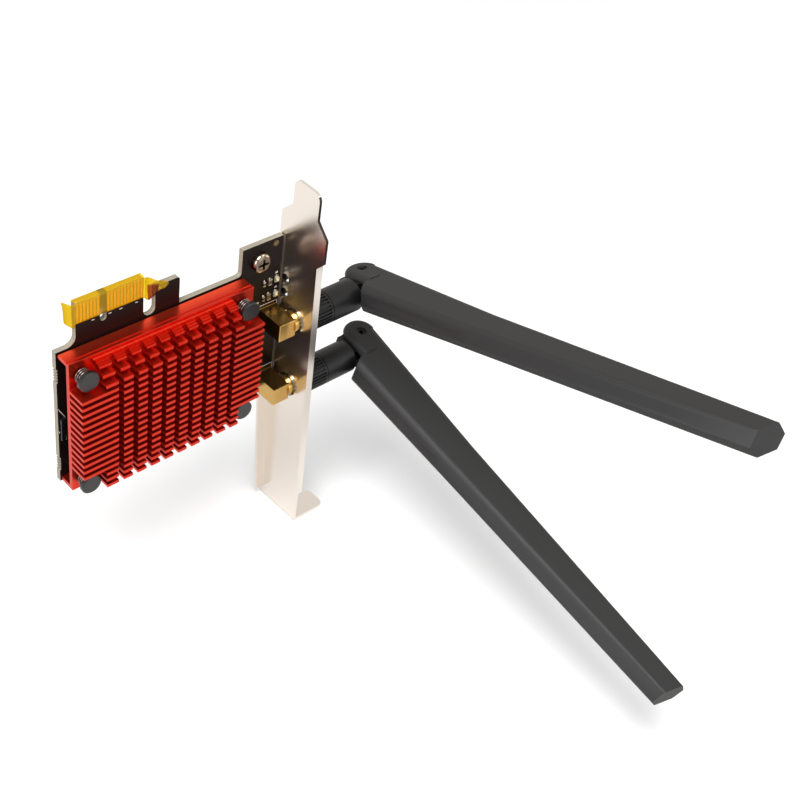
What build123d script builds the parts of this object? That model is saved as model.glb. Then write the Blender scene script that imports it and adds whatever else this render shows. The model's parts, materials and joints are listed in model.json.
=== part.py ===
from build123d import *
import math
import os

os.makedirs("parts", exist_ok=True)

# Frame: X = 0 is the inner face of the bracket, +X points outside the computer
# Y = 0 is the component face of the circuit board, the heatsink stands on the -Y side
# Z = 0 is the underside of the bracket foot, the edge connector points up

# Shared clearances
touch = 0.0
slip = 0.1
thread_gap = 0.05

# Circuit board
board_t = 1.6
board_left = -72.7
board_right = -0.4
board_bottom = 47.0
board_top = 91.9
tongue_left = -66.75
tongue_right = -46.45
tongue_top = 105.0
ear_left = -42.8
ear_right = -35.1
ear_top = 100.4
corner_left = -14.4
corner_top = 100.4
key_x = -58.6
key_w = 1.9
key_bottom = 96.2
tongue_foot_r = min(2.8, (tongue_top - board_top) / 3)
mouse_bite_r = 0.42
mouse_bite_pitch = 0.95

# Edge contacts, one every millimetre with three between the two groups
contact_pitch = 1.0
contact_w = 0.7
contact_bottom = 98.7
contact_top = 104.6
contact_t = 0.05
contact_first = -66.1
contacts_short = 7
contacts_long = 11

# Heatsink
sink_left = -72.3
sink_right = -14.2
sink_bottom = 47.4
sink_top = 91.6
sink_wall = 1.2
base_front = 5.3
base_back = 4.0
fin_pitch = 2.2
fin_t = 0.95
fin_first = 49.64
fin_count = 18
fin_depth = 11.1
slot_w = 1.565
slot_pitch = 4.465
slot_first = -61.485
slot_count = 9
slot_floor = 5.6
pocket_w = 7.1
pocket_low = 55.1
pocket_high = 83.6

# Radio module and thermal pad
can_w = 36.0
can_l = 30.0
can_h = 2.6
pad_w = 30.0
pad_l = 24.0

# Service connector
conn_left = -72.3
conn_w = 1.25
conn_l = 7.6
conn_h = 1.0
conn_mid = 66.0
conn_pitch = 1.5

# Push pins
pin_xs = (-68.85, -17.85)
pin_zs = (51.0, 87.1)
cap_r = 3.0
cap_front = 9.4
cap_t = 1.25
pin_r = 1.4
spring_r = 2.05
wire_r = 0.2

# Bracket
sheet = 0.86
plate_neg = -16.44
plate_pos = 1.98
tab_half = 5.095
plate_mid = (plate_neg + plate_pos) / 2
shoulder_low = 107.73
shoulder_high = 111.85
tab_top = 120.02
fold_top_y = -14.0
fold_top_z = 97.4
fold_low_y = -16.4
fold_low_z = 11.4
lip_out = 2.3
back_fold_top = (0.3, 44.0)
back_fold_low = (-1.15, 3.4)
back_lip_top = -4.4
back_lip_low = -3.0
foot_out = 12.3
foot_notch_w = 4.42
foot_notch_x = 5.2
led_y = -1.9
led_zs = (81.8, 86.7)
led_hole_r = 1.5

# Antenna jacks
jack_y = -7.29
jack_zs = (51.29, 75.23)
block_back = -7.3
block_front = -1.4
block_half_h = 2.85
block_drop = 0.4
block_deep = 9.8
barrel_r = 3.1
bore_r = 2.3
barrel_end = 8.4
hole_gap = 0.2
washer_t = 0.5
washer_r = 3.8
nut_t = 2.0
nut_af = 8.0

# Antennas, turn of the flat side about the jack axis, lean of the folded blade
# and how far each antenna sits out on its jack
names = ("lower", "upper")
turns = (11.06, -17.2)
leans = (-1.0, 0.6)
seats = (0.45, -0.45)
collar_r = 5.0
collar_x0 = 4.1
collar_x1 = 11.3
knurls = 30
base_x0 = 11.5
base_x1 = 22.7
base_r = 5.0
plug_r = bore_r - slip
spigot_len = 3.4
flange_x0 = barrel_end + 0.55

# Hinge, distances measured from the pin
pin_x = 29.17
pin_off = 2.32
pin_hole_r = 1.16
hinge_r = 1.1
hinge_recess = 0.55
tongue_half = 2.4
tongue_r = 4.6
slot_s = 7.9
notch_s = 7.7
shoulder_s = 10.4

# Blade section at the pin, where the taper eases, and at the tip:
# half width of the flat, bevel, height of each half shell, edge rounding
blade_off = 2.32
blade_len = 139.98
ease_s = 50.0
flats = (7.3, 5.2, 3.055)
bevels = (1.14, 2.09, 2.17)
heights = {"front": (5.4, 4.1, 4.0), "rear": (3.1, 3.25, 3.45)}
rounds = {"front": (3.0, 2.4, 0.8), "rear": (2.6, 2.0, 0.7)}
ear_round = 2.0
end_slant = 0.24
shell_wall = 1.1
tongue_mid = (heights["front"][0] - heights["rear"][0]) / 2
strip_w = 4.6
strip_t = 0.8
strip_s0 = 14.4

# Small chip parts, two rows
chip_rows = (80.9, 86.0)
res_w = 0.8
res_l = 1.4
res_h = 0.4
cap_w = 1.2
cap_l = 2.0
cap_h = 0.6
led_x = -1.7
led_w = 1.2
led_l = 2.1
led_h = 0.8

# Board fixing screw
screw_x = -8.3
screw_z = corner_top - 5.8
screw_head_r = 3.0
screw_head_h = 2.0
screw_r = 1.45


def save(builder, name):
    builder.part.label = name
    export_step(builder.part, "parts/" + name + ".step")


# Circuit board
outline = [
    (board_left, board_bottom),
    (board_right, board_bottom),
    (board_right, corner_top),
    (corner_left, corner_top),
    (corner_left, board_top),
    (ear_right, board_top),
    (ear_right, ear_top),
    (ear_left, ear_top),
    (ear_left, board_top),
    (tongue_right, board_top),
    (tongue_right, tongue_top),
    (tongue_left, tongue_top),
    (tongue_left, board_top),
    (board_left, board_top),
]
with BuildPart() as circuit_board:
    with BuildSketch(Plane.XZ.offset(-board_t)) as board_face:
        Polygon(*outline, align=None)
        corners = board_face.vertices()
        fillet(corners.sort_by_distance((tongue_left, board_top))[0], tongue_foot_r)
        corners = board_face.vertices()
        fillet(corners.sort_by_distance((tongue_right, board_top))[0], 1.75)
        corners = board_face.vertices()
        fillet(corners.sort_by_distance((ear_left, board_top))[0], 1.75)
        corners = board_face.vertices()
        fillet(corners.sort_by_distance((corner_left, board_top))[0], 1.2)
        corners = board_face.vertices()
        fillet(corners.sort_by_distance((ear_right, ear_top))[0], 0.9)
        corners = board_face.vertices()
        fillet(corners.sort_by_distance((ear_left, ear_top))[0], 0.6)
        corners = board_face.vertices()
        chamfer(corners.sort_by_distance((tongue_left, tongue_top))[0], 0.5)
        corners = board_face.vertices()
        chamfer(corners.sort_by_distance((tongue_right, tongue_top))[0], 0.5)
        with Locations((key_x, key_bottom + key_w / 2)):
            Circle(key_w / 2, mode=Mode.SUBTRACT)
        with Locations((key_x, (key_bottom + key_w / 2 + tongue_top + 1) / 2)):
            Rectangle(key_w, tongue_top + 1 - key_bottom - key_w / 2, mode=Mode.SUBTRACT)
        for z_mid in (53.3, 84.1):
            for step in (-2, -1, 0, 1, 2):
                with Locations((board_left, z_mid + step * mouse_bite_pitch)):
                    Circle(mouse_bite_r, mode=Mode.SUBTRACT)
        for x in pin_xs:
            for z in pin_zs:
                with Locations((x, z)):
                    Circle(pin_r + slip, mode=Mode.SUBTRACT)
        with Locations((screw_x, screw_z)):
            Circle(screw_r + slip, mode=Mode.SUBTRACT)
        with Locations((-2.8, 98.6)):
            Circle(0.45, mode=Mode.SUBTRACT)
        for z in jack_zs:
            for dx in (-6.2, -2.5):
                for dz in (-2.2, 2.2):
                    with Locations((dx, z - block_drop + dz)):
                        Circle(0.55, mode=Mode.SUBTRACT)
    extrude(amount=board_t)
save(circuit_board, "circuit_board")

# Gold edge contacts on both faces
contact_xs = [contact_first + contact_pitch * i for i in range(contacts_short)]
long_first = contact_first + contact_pitch * (contacts_short + 2)
contact_xs += [long_first + contact_pitch * i for i in range(contacts_long)]
with BuildPart() as edge_contacts:
    for depth in (0.0, -board_t - contact_t):
        with BuildSketch(Plane.XZ.offset(depth)):
            for x in contact_xs:
                with Locations((x, (contact_bottom + contact_top) / 2)):
                    Rectangle(contact_w, contact_top - contact_bottom)
        extrude(amount=contact_t)
save(edge_contacts, "edge_contacts")

# Protective tape folded over the edge contacts
tape_t = 0.1
tape_front = [
    (-70.6, 99.1),
    (tongue_left - 0.3, 98.2),
    (tongue_left - 0.3, contact_bottom - 0.1),
    (tongue_right, contact_bottom - 0.1),
    (tongue_right, 97.6),
    (-42.9, 96.6),
    (-42.7, 98.8),
    (-42.0, 99.9),
    (-39.3, 99.2),
    (-39.3, 100.0),
    (-42.5, 102.4),
    (-46.2, tongue_top + tape_t),
    (tongue_left, tongue_top + tape_t),
    (-68.3, 104.6),
    (-70.7, 106.0),
]
with BuildPart() as edge_tape:
    with BuildSketch(Plane.XZ.offset(contact_t)):
        Polygon(*tape_front, align=None)
    extrude(amount=tape_t)
    with BuildSketch(Plane.XZ.offset(-board_t - contact_t - tape_t)):
        tall = tongue_top + tape_t - contact_bottom
        with Locations(((tongue_left + tongue_right) / 2, contact_bottom + tall / 2)):
            Rectangle(tongue_right - tongue_left, tall)
    extrude(amount=tape_t)
    with BuildSketch(Plane.XY.offset(tongue_top)):
        with Locations(((tongue_left + tongue_right) / 2, board_t / 2)):
            Rectangle(tongue_right - tongue_left, board_t + 2 * contact_t + 2 * tape_t)
    extrude(amount=tape_t)
save(edge_tape, "edge_tape")

# Finned heatsink
fin_zs = [fin_first + fin_pitch * i for i in range(fin_count)]
with BuildPart() as heatsink:
    with BuildSketch(Plane.YZ.offset(sink_left)):
        with Locations((-base_front / 2, (sink_bottom + sink_top) / 2)):
            Rectangle(base_front, sink_top - sink_bottom)
        with Locations((-base_back / 2, (sink_bottom + sink_top) / 2)):
            Rectangle(base_back, sink_top - sink_bottom - 2 * sink_wall, mode=Mode.SUBTRACT)
        for z in fin_zs:
            tip = fin_depth
            if z > 86.5:
                tip = 9.6
            with Locations((-(base_front + tip) / 2 + 0.1, z)):
                Rectangle(tip - base_front + 0.2, fin_t)
        # Topmost fin with four small steps on its upper side
        steps = [(-5.0, 88.76), (-8.1, 88.76), (-8.1, 89.45)]
        for i in range(3):
            y = -8.1 + 0.7 * (i + 1)
            z = 89.45 + 0.32 * i
            steps += [(y, z), (y - 0.25, z + 0.32)]
        steps += [(-5.6, 90.2), (-5.0, 90.5)]
        Polygon(*steps, align=None)
        # Shallow line groove on the top wall and a bevel at its back edge
        with Locations((-4.2, sink_top)):
            Rectangle(0.4, 0.5, mode=Mode.SUBTRACT)
        Polygon((0, sink_top - 0.6), (0.1, sink_top + 0.1), (-0.6, sink_top), align=None, mode=Mode.SUBTRACT)
    extrude(amount=sink_right - sink_left)
    # Cross cuts through the fins
    cut_z = (sink_bottom + sink_top) / 2
    for i in range(slot_count):
        with BuildSketch(Plane.XZ.offset(slot_floor)):
            with Locations((slot_first + slot_w / 2 + slot_pitch * i, cut_z)):
                Rectangle(slot_w, 60)
        extrude(amount=8, mode=Mode.SUBTRACT)
    # Corner pockets for the push pins
    low_h = pocket_low - sink_bottom + 2
    high_h = sink_top - pocket_high + 2
    with BuildSketch(Plane.XZ.offset(base_front)):
        for x in (sink_left + pocket_w / 2, sink_right - pocket_w / 2):
            with Locations((x, pocket_low - low_h / 2)):
                Rectangle(pocket_w, low_h)
            with Locations((x, pocket_high + high_h / 2)):
                Rectangle(pocket_w, high_h)
    extrude(amount=8, mode=Mode.SUBTRACT)
    with BuildSketch(Plane.XZ.offset(base_back - 1)):
        for x in pin_xs:
            for z in pin_zs:
                with Locations((x, z)):
                    Circle(pin_r + 0.2)
    extrude(amount=4, mode=Mode.SUBTRACT)
save(heatsink, "heatsink")

# Radio module under the heatsink
module_x = (sink_left + sink_right) / 2
module_z = (sink_bottom + sink_top) / 2
with BuildPart() as module_shield:
    with BuildSketch(Plane.XZ):
        with Locations((module_x, module_z)):
            RectangleRounded(can_w, can_l, 1.0)
    extrude(amount=can_h)
    fillet(module_shield.faces().sort_by(Axis.Y)[0].edges(), 0.3)
save(module_shield, "module_shield")

with BuildPart() as thermal_pad:
    with BuildSketch(Plane.XZ.offset(can_h)):
        with Locations((module_x, module_z)):
            Rectangle(pad_w, pad_l)
    extrude(amount=base_back - can_h)
save(thermal_pad, "thermal_pad")

# Small side entry connector at the left end of the board
with BuildPart() as service_connector:
    with BuildSketch(Plane.XZ):
        with Locations((conn_left + conn_w / 2, conn_mid)):
            Rectangle(conn_w, conn_l)
    extrude(amount=conn_h)
    chamfer(service_connector.edges().filter_by(Axis.X).group_by(Axis.Y)[0], 0.3)
    with BuildSketch(Plane.YZ.offset(conn_left)):
        for step in (-1, 0, 1):
            with Locations((-conn_h / 2, conn_mid + step * conn_pitch)):
                Rectangle(0.5, 0.7)
    extrude(amount=0.8, mode=Mode.SUBTRACT)
save(service_connector, "service_connector")

with BuildPart() as service_contacts:
    for step in (-1, 0, 1):
        z = conn_mid + step * conn_pitch
        with BuildSketch(Plane.XZ):
            with Locations((conn_left + conn_w + 0.25, z)):
                Rectangle(0.5, 0.5)
        extrude(amount=0.35)
        with BuildSketch(Plane.YZ.offset(conn_left + 0.25)):
            with Locations((-conn_h / 2, z)):
                Rectangle(0.25, 0.35)
        extrude(amount=0.55)
save(service_contacts, "service_contacts")

# Push pins and their springs
for number, (x, z) in enumerate([(x, z) for z in pin_zs for x in pin_xs], start=1):
    with BuildPart() as push_pin:
        with BuildSketch(Plane.XZ.offset(cap_front - cap_t)):
            with Locations((x, z)):
                Circle(cap_r)
        extrude(amount=cap_t)
        chamfer(push_pin.edges().filter_by(GeomType.CIRCLE).sort_by(Axis.Y)[0], 0.25)
        with BuildSketch(Plane.XZ.offset(-board_t - 0.1)):
            with Locations((x, z)):
                Circle(pin_r)
        extrude(amount=cap_front - cap_t + board_t + 0.1)
        with BuildSketch(Plane.XZ.offset(-board_t - 0.05)):
            with Locations((x, z)):
                Circle(pin_r + 0.45)
        with BuildSketch(Plane.XZ.offset(-board_t - 1.9)):
            with Locations((x, z)):
                Circle(0.7)
        loft()
        with BuildSketch(Plane.XZ.offset(-board_t - 2.5)):
            with Locations((x, z)):
                Rectangle(0.5, 4.5)
        extrude(amount=3.6, mode=Mode.SUBTRACT)
    save(push_pin, "push_pin_" + str(number))
    spring_h = cap_front - cap_t - base_front - 2 * wire_r - 0.02
    with BuildPart() as pin_spring:
        with BuildLine() as coil:
            Helix(
                pitch=spring_h / 3.5,
                height=spring_h,
                radius=spring_r,
                center=(x, -base_front - wire_r - 0.01, z),
                direction=(0, -1, 0),
            )
        start = coil.line
        with BuildSketch(Plane(origin=start @ 0, z_dir=start % 0)):
            Circle(wire_r)
        sweep()
    save(pin_spring, "pin_spring_" + str(number))

# Bracket of folded sheet steel
plate_points = [
    (plate_neg, 0),
    (plate_pos, 0),
    (plate_pos, back_fold_low[1] - 0.5),
    (back_fold_low[0], back_fold_low[1] - 0.5),
    back_fold_low,
    back_fold_top,
    (plate_pos, back_fold_top[1] + 1.0),
    (plate_pos, shoulder_low),
    (plate_mid + tab_half, shoulder_high),
    (plate_mid + tab_half, tab_top),
    (plate_mid - tab_half, tab_top),
    (plate_mid - tab_half, shoulder_high),
    (plate_neg, shoulder_low),
    (plate_neg, fold_top_z + 2.7),
    (fold_top_y, fold_top_z),
    (fold_low_y, fold_low_z),
    (plate_neg, fold_low_z - 0.6),
]
with BuildPart() as bracket:
    with BuildSketch(Plane.YZ) as plate_face:
        Polygon(*plate_points, align=None)
        points = plate_face.vertices()
        fillet(points.sort_by_distance((plate_mid + tab_half, tab_top))[0], 2.4)
        points = plate_face.vertices()
        fillet(points.sort_by_distance((plate_mid - tab_half, tab_top))[0], 2.4)
        for z in jack_zs:
            with Locations((jack_y, z)):
                Circle(barrel_r + hole_gap, mode=Mode.SUBTRACT)
        for z in led_zs:
            with Locations((led_y, z)):
                Circle(led_hole_r, mode=Mode.SUBTRACT)
        with Locations((plate_neg + 1.0, fold_top_z + 2.9)):
            Circle(0.6, mode=Mode.SUBTRACT)
    extrude(amount=sheet)
    # Side lip folded outward
    with BuildSketch(Plane.YZ):
        Polygon(
            (fold_low_y, fold_low_z),
            (fold_top_y, fold_top_z),
            (fold_top_y + sheet, fold_top_z),
            (fold_low_y + sheet, fold_low_z),
            align=None,
        )
    extrude(amount=lip_out)
    # Short lip folded inward below the board
    with BuildSketch(Plane.YZ.offset(back_lip_top)):
        Polygon(
            back_fold_low,
            back_fold_top,
            (back_fold_top[0] + sheet, back_fold_top[1]),
            (back_fold_low[0] + sheet, back_fold_low[1]),
            align=None,
        )
    extrude(amount=-back_lip_top + sheet)
    with BuildSketch(Plane.XZ.offset(-5)):
        Polygon(
            (back_lip_top - 1, back_fold_low[1] - 1),
            (back_lip_low, back_fold_low[1] - 1),
            (back_lip_low, back_fold_low[1] + 1),
            (back_lip_top, back_fold_top[1]),
            (back_lip_top - 1, back_fold_top[1]),
            align=None,
        )
    extrude(amount=8, mode=Mode.SUBTRACT)
    # Foot with the screw notch
    with BuildSketch(Plane.XY) as foot_face:
        with Locations((foot_out / 2, plate_mid)):
            Rectangle(foot_out, plate_pos - plate_neg)
        ends = foot_face.vertices().group_by(Axis.X)[-1]
        fillet(ends, 2.0)
        with Locations((foot_notch_x, plate_mid)):
            Circle(foot_notch_w / 2, mode=Mode.SUBTRACT)
        with Locations(((foot_notch_x + foot_out + 1) / 2, plate_mid)):
            Rectangle(foot_out + 1 - foot_notch_x, foot_notch_w, mode=Mode.SUBTRACT)
        open_ends = foot_face.vertices().filter_by_position(Axis.X, foot_out - 0.05, foot_out + 0.05)
        inner = open_ends.sort_by_distance((foot_out, plate_mid))
        fillet(inner[0:2], 1.4)
    extrude(amount=sheet)
    # Tab behind the board for the fixing screw
    with BuildSketch(Plane.XZ.offset(-board_t - sheet)) as tab_face:
        with Locations((-6.0 + sheet / 2, screw_z - 0.4)):
            Rectangle(12.0 + sheet, 9.6)
        fillet(tab_face.vertices().group_by(Axis.X)[0], 2.0)
        with Locations((screw_x, screw_z)):
            Circle(screw_r + thread_gap, mode=Mode.SUBTRACT)
    extrude(amount=sheet)
    bottom = bracket.edges().filter_by(Axis.Y).filter_by_position(Axis.X, -0.01, 0.01)
    fillet(bottom.sort_by(Axis.Z)[0], 0.7)
save(bracket, "bracket")

# Board fixing screw with a cross recess
with BuildPart() as bracket_screw:
    with BuildSketch(Plane.XZ):
        with Locations((screw_x, screw_z)):
            Circle(screw_head_r)
    extrude(amount=screw_head_h)
    fillet(bracket_screw.edges().filter_by(GeomType.CIRCLE).sort_by(Axis.Y)[0], 1.2)
    with BuildSketch(Plane.XZ.offset(screw_head_h - 1.1)):
        with Locations((screw_x, screw_z)):
            Rectangle(0.8, 3.4)
            Rectangle(3.4, 0.8)
    extrude(amount=2, mode=Mode.SUBTRACT)
    with BuildSketch(Plane.XZ.offset(-board_t - sheet - 1.2)):
        with Locations((screw_x, screw_z)):
            Circle(screw_r)
    extrude(amount=board_t + sheet + 1.2)
save(bracket_screw, "bracket_screw")

# Antenna jacks on the board
for name, z in zip(names, jack_zs):
    across = Plane(origin=(0, jack_y, z), x_dir=(0, 1, 0), z_dir=(1, 0, 0))
    with BuildPart() as jack_body:
        with BuildSketch(Plane.XZ):
            with Locations(((block_back + block_front) / 2, z - block_drop)):
                Rectangle(block_front - block_back, 2 * block_half_h)
        extrude(amount=block_deep)
        chamfer(jack_body.edges().filter_by(Axis.Z), 0.15)
        with BuildSketch(across.offset(block_front - 0.5)):
            Circle(barrel_r)
        extrude(amount=barrel_end - block_front + 0.5)
        chamfer(jack_body.edges().filter_by(GeomType.CIRCLE).sort_by(Axis.X)[-1], 0.3)
        with BuildSketch(across.offset(barrel_end - 6.0)):
            Circle(bore_r)
        extrude(amount=7, mode=Mode.SUBTRACT)
        with BuildSketch(Plane.XZ.offset(-board_t - 0.8)):
            for dx in (-6.2, -2.5):
                for dz in (-2.2, 2.2):
                    with Locations((dx, z - block_drop + dz)):
                        Circle(0.45)
        extrude(amount=board_t + 0.8)
    save(jack_body, "jack_body_" + name)

    with BuildPart() as jack_washer:
        with BuildSketch(across.offset(-washer_t)) as ring:
            Circle(washer_r)
            Circle(barrel_r + 0.08, mode=Mode.SUBTRACT)
            with PolarLocations(washer_r, 14):
                Rectangle(0.9, 0.6, mode=Mode.SUBTRACT)
        extrude(amount=washer_t)
    save(jack_washer, "jack_washer_" + name)

    with BuildPart() as jack_nut:
        with BuildSketch(across.offset(sheet)):
            RegularPolygon(nut_af / 2, 6, major_radius=False)
            Circle(barrel_r + thread_gap, mode=Mode.SUBTRACT)
        extrude(amount=nut_t)
    save(jack_nut, "jack_nut_" + name)

    with BuildPart() as jack_insert:
        with BuildSketch(across.offset(barrel_end - 6.0)):
            Circle(bore_r)
        extrude(amount=1.6)
        with BuildSketch(across.offset(barrel_end - 4.4)):
            Circle(0.45)
        extrude(amount=2.6)
    save(jack_insert, "jack_insert_" + name)

# Small parts soldered to the board near the bracket
with BuildPart() as chip_resistors:
    with BuildSketch(Plane.XZ):
        for z in chip_rows:
            with Locations((-6.0, z - 0.2)):
                Rectangle(res_w, res_l)
    extrude(amount=res_h)
save(chip_resistors, "chip_resistors")

with BuildPart() as chip_capacitors:
    with BuildSketch(Plane.XZ):
        for z in chip_rows:
            with Locations((-4.2, z)):
                Rectangle(cap_w, cap_l)
    extrude(amount=cap_h)
save(chip_capacitors, "chip_capacitors")

with BuildPart() as status_leds:
    with BuildSketch(Plane.XZ):
        for z in chip_rows:
            with Locations((led_x, z)):
                Rectangle(led_w, led_l)
    extrude(amount=0.35)
    with BuildSketch(Plane.XZ.offset(0.35)):
        for z in chip_rows:
            with Locations((led_x, z)):
                Rectangle(led_w, led_l - 0.8)
    extrude(amount=led_h - 0.35)
save(status_leds, "status_leds")

# Hinged antennas
for name, z, turn, lean, seat in zip(names, jack_zs, turns, leans, seats):
    a = math.radians(turn)
    b = math.radians(lean)
    start = (seat, jack_y, z)
    flat_up = (0, -math.sin(a), math.cos(a))
    flat = Plane(origin=start, x_dir=(1, 0, 0), z_dir=flat_up)
    across = Plane(origin=start, x_dir=(0, math.cos(a), math.sin(a)), z_dir=(1, 0, 0))
    pin_at = flat.from_local_coords((pin_x, pin_off, 0))
    sideways = (math.cos(b), math.sin(b) * math.cos(a), math.sin(b) * math.sin(a))
    leaf = Plane(origin=pin_at, x_dir=sideways, z_dir=flat_up)
    middle = leaf.from_local_coords((-blade_off, 0, 0))
    root = Plane(origin=middle, x_dir=sideways, z_dir=-leaf.y_dir)

    # Collar with a knurled grip and a plain rim
    with BuildPart() as collar:
        with BuildSketch(across.offset(collar_x0)):
            Circle(collar_r)
            with PolarLocations(collar_r, knurls):
                Rectangle(0.9, 0.5, mode=Mode.SUBTRACT)
            Circle(barrel_r + slip, mode=Mode.SUBTRACT)
        extrude(amount=collar_x1 - collar_x0 - 0.7)
        with BuildSketch(across.offset(collar_x1 - 0.7)):
            Circle(collar_r)
            Circle(plug_r + slip, mode=Mode.SUBTRACT)
        extrude(amount=0.7)
        chamfer(collar.edges().filter_by(GeomType.CIRCLE).sort_by(Axis.X)[-1], 0.15)
    save(collar, "collar_" + name)

    with BuildPart() as coupling:
        with BuildSketch(across.offset(barrel_end - 2.5)):
            Circle(plug_r)
        extrude(amount=base_x0 + spigot_len - barrel_end + 2.5)
        with BuildSketch(across.offset(flange_x0)):
            Circle(barrel_r - slip)
        extrude(amount=collar_x1 - 0.7 - flange_x0)
        with BuildSketch(across.offset(barrel_end - 2.5)):
            Circle(0.6)
        extrude(amount=3.0, mode=Mode.SUBTRACT)
    save(coupling, "coupling_" + name)

    with BuildPart() as swivel_base:
        with BuildSketch(across.offset(base_x0)):
            Circle(base_r)
        extrude(amount=base_x1 - base_x0)
        chamfer(swivel_base.edges().filter_by(GeomType.CIRCLE).sort_by(Axis.X)[-1], 0.6)
        with BuildSketch(flat.offset(tongue_mid - tongue_half)):
            with Locations((pin_x, pin_off)):
                Circle(tongue_r)
            with Locations(((base_x1 - 0.6 + pin_x) / 2, pin_off - tongue_r + 3.6)):
                Rectangle(pin_x - base_x1 + 0.6, 7.2)
        extrude(amount=2 * tongue_half)
        with BuildSketch(across.offset(base_x0)):
            Circle(plug_r + 0.06)
        extrude(amount=spigot_len + 0.2, mode=Mode.SUBTRACT)
        with BuildSketch(flat.offset(-4)):
            with Locations((pin_x, pin_off)):
                Circle(pin_hole_r)
        extrude(amount=8, mode=Mode.SUBTRACT)
    save(swivel_base, "swivel_base_" + name)

    # Rolled spring pin with a slit
    pin_low = -heights["rear"][0] + hinge_recess
    pin_high = heights["front"][0] - hinge_recess
    with BuildPart() as hinge_pin:
        with BuildSketch(leaf.offset(pin_low)):
            Circle(hinge_r)
            Circle(hinge_r - 0.45, mode=Mode.SUBTRACT)
            with Locations((0, -hinge_r)):
                Rectangle(0.35, 1.4, mode=Mode.SUBTRACT)
        extrude(amount=pin_high - pin_low)
    save(hinge_pin, "hinge_pin_" + name)

    # Two half shells that meet on one plane through the jack axis
    for side, sign in (("front", 1), ("rear", -1)):
        high = sign * heights[side][0]
        low = sign * heights[side][2]
        spots = (0.0, ease_s, blade_len + 1.5)
        rows = list(zip(spots, flats, bevels, heights[side], rounds[side]))
        with BuildPart() as shell:
            for pair in (rows[0:2], rows[1:3]):
                for s, flat_half, bevel, tall, radius in pair:
                    with BuildSketch(root.offset(s)) as section:
                        Polygon(
                            (-flat_half - bevel, 0),
                            (flat_half + bevel, 0),
                            (flat_half, sign * tall),
                            (-flat_half, sign * tall),
                            align=None,
                        )
                        tops = [v for v in section.vertices() if abs(v.Y) > 1]
                        fillet(tops, radius)
                loft()
            # Room for the base beside the ear, with a slanted shoulder
            far = flats[0] + bevels[0] - blade_off
            near = flats[0] + bevels[0] + blade_off
            with BuildSketch(leaf):
                Polygon(
                    (0, 2),
                    (0, -notch_s),
                    (-far, -notch_s),
                    (-near, -shoulder_s),
                    (-near - 3, -shoulder_s - 2.5),
                    (-near - 3, 2),
                    align=None,
                )
            extrude(amount=sign * 6, mode=Mode.SUBTRACT)
            # Ear: near half of the blade's section, then its rounded end
            with BuildSketch(root) as ear_half:
                Polygon(
                    (blade_off - far, 0),
                    (blade_off, 0),
                    (blade_off, high),
                    (blade_off - far + bevels[0], high),
                    align=None,
                )
                tops = ear_half.vertices().sort_by_distance((blade_off - far + bevels[0], high))
                fillet(tops[0], ear_round)
            extrude(amount=notch_s)
            with BuildSketch(root) as ear_end:
                Polygon(
                    (blade_off, 0),
                    (blade_off + far, 0),
                    (blade_off + far - bevels[0], high),
                    (blade_off, high),
                    align=None,
                )
                tops = ear_end.vertices().sort_by_distance((blade_off + far - bevels[0], high))
                fillet(tops[0], ear_round)
            revolve(axis=Axis(pin_at, flat_up), revolution_arc=180)
            # Slot for the base's tongue, holes for the hinge pin
            with BuildSketch(leaf):
                with Locations((0, 12 - slot_s)):
                    Rectangle(30, 24)
            extrude(amount=tongue_mid + sign * (tongue_half + slip), mode=Mode.SUBTRACT)
            with BuildSketch(leaf):
                Circle(hinge_r)
            extrude(amount=sign * 6, mode=Mode.SUBTRACT)
            with BuildSketch(leaf.offset(high - sign * hinge_recess)):
                Circle(1.55)
            extrude(amount=sign * 3, mode=Mode.SUBTRACT)
            # Inner hollow for the antenna strip
            with BuildSketch(root.offset(strip_s0)):
                Rectangle(2 * (flats[1] - 0.2), 2 * (abs(high) - shell_wall - 0.5))
            with BuildSketch(root.offset(blade_len - 2.5)):
                Rectangle(2 * (flats[2] - 0.6), 2 * (abs(low) - shell_wall - 0.5))
            loft(mode=Mode.SUBTRACT)
            # Slanted end of the blade
            with BuildSketch(leaf):
                Polygon(
                    (-blade_off - 8, -blade_len + 8 * end_slant),
                    (-blade_off + 8, -blade_len - 8 * end_slant),
                    (-blade_off + 8, -blade_len - 8),
                    (-blade_off - 8, -blade_len - 8),
                    align=None,
                )
            extrude(amount=sign * 6, mode=Mode.SUBTRACT)
        save(shell, "blade_" + side + "_" + name)

    strip_len = blade_len - 12 - strip_s0
    with BuildPart() as strip:
        with BuildSketch(leaf.offset(-strip_t / 2)):
            with Locations((-blade_off, -strip_s0 - strip_len / 2)):
                Rectangle(strip_w, strip_len)
        extrude(amount=strip_t)
    save(strip, "antenna_strip_" + name)
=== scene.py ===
# %% [markdown]
# # A wireless network card with two folding antennas
# A desktop network card is a small circuit board screwed to a folded steel slot bracket. This one carries
# a red finned heatsink over its radio, and two paddle antennas screwed to brass jacks that poke through
# the bracket. The solids come ready made from the CAD step. Blender gives them their surfaces, and adds
# what is too thin or too soft for a solid: the film on the contacts, print, solder and tiny chip ends.

import json
import math

import bmesh
import bpy
from mathutils import Matrix, Vector

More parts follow.
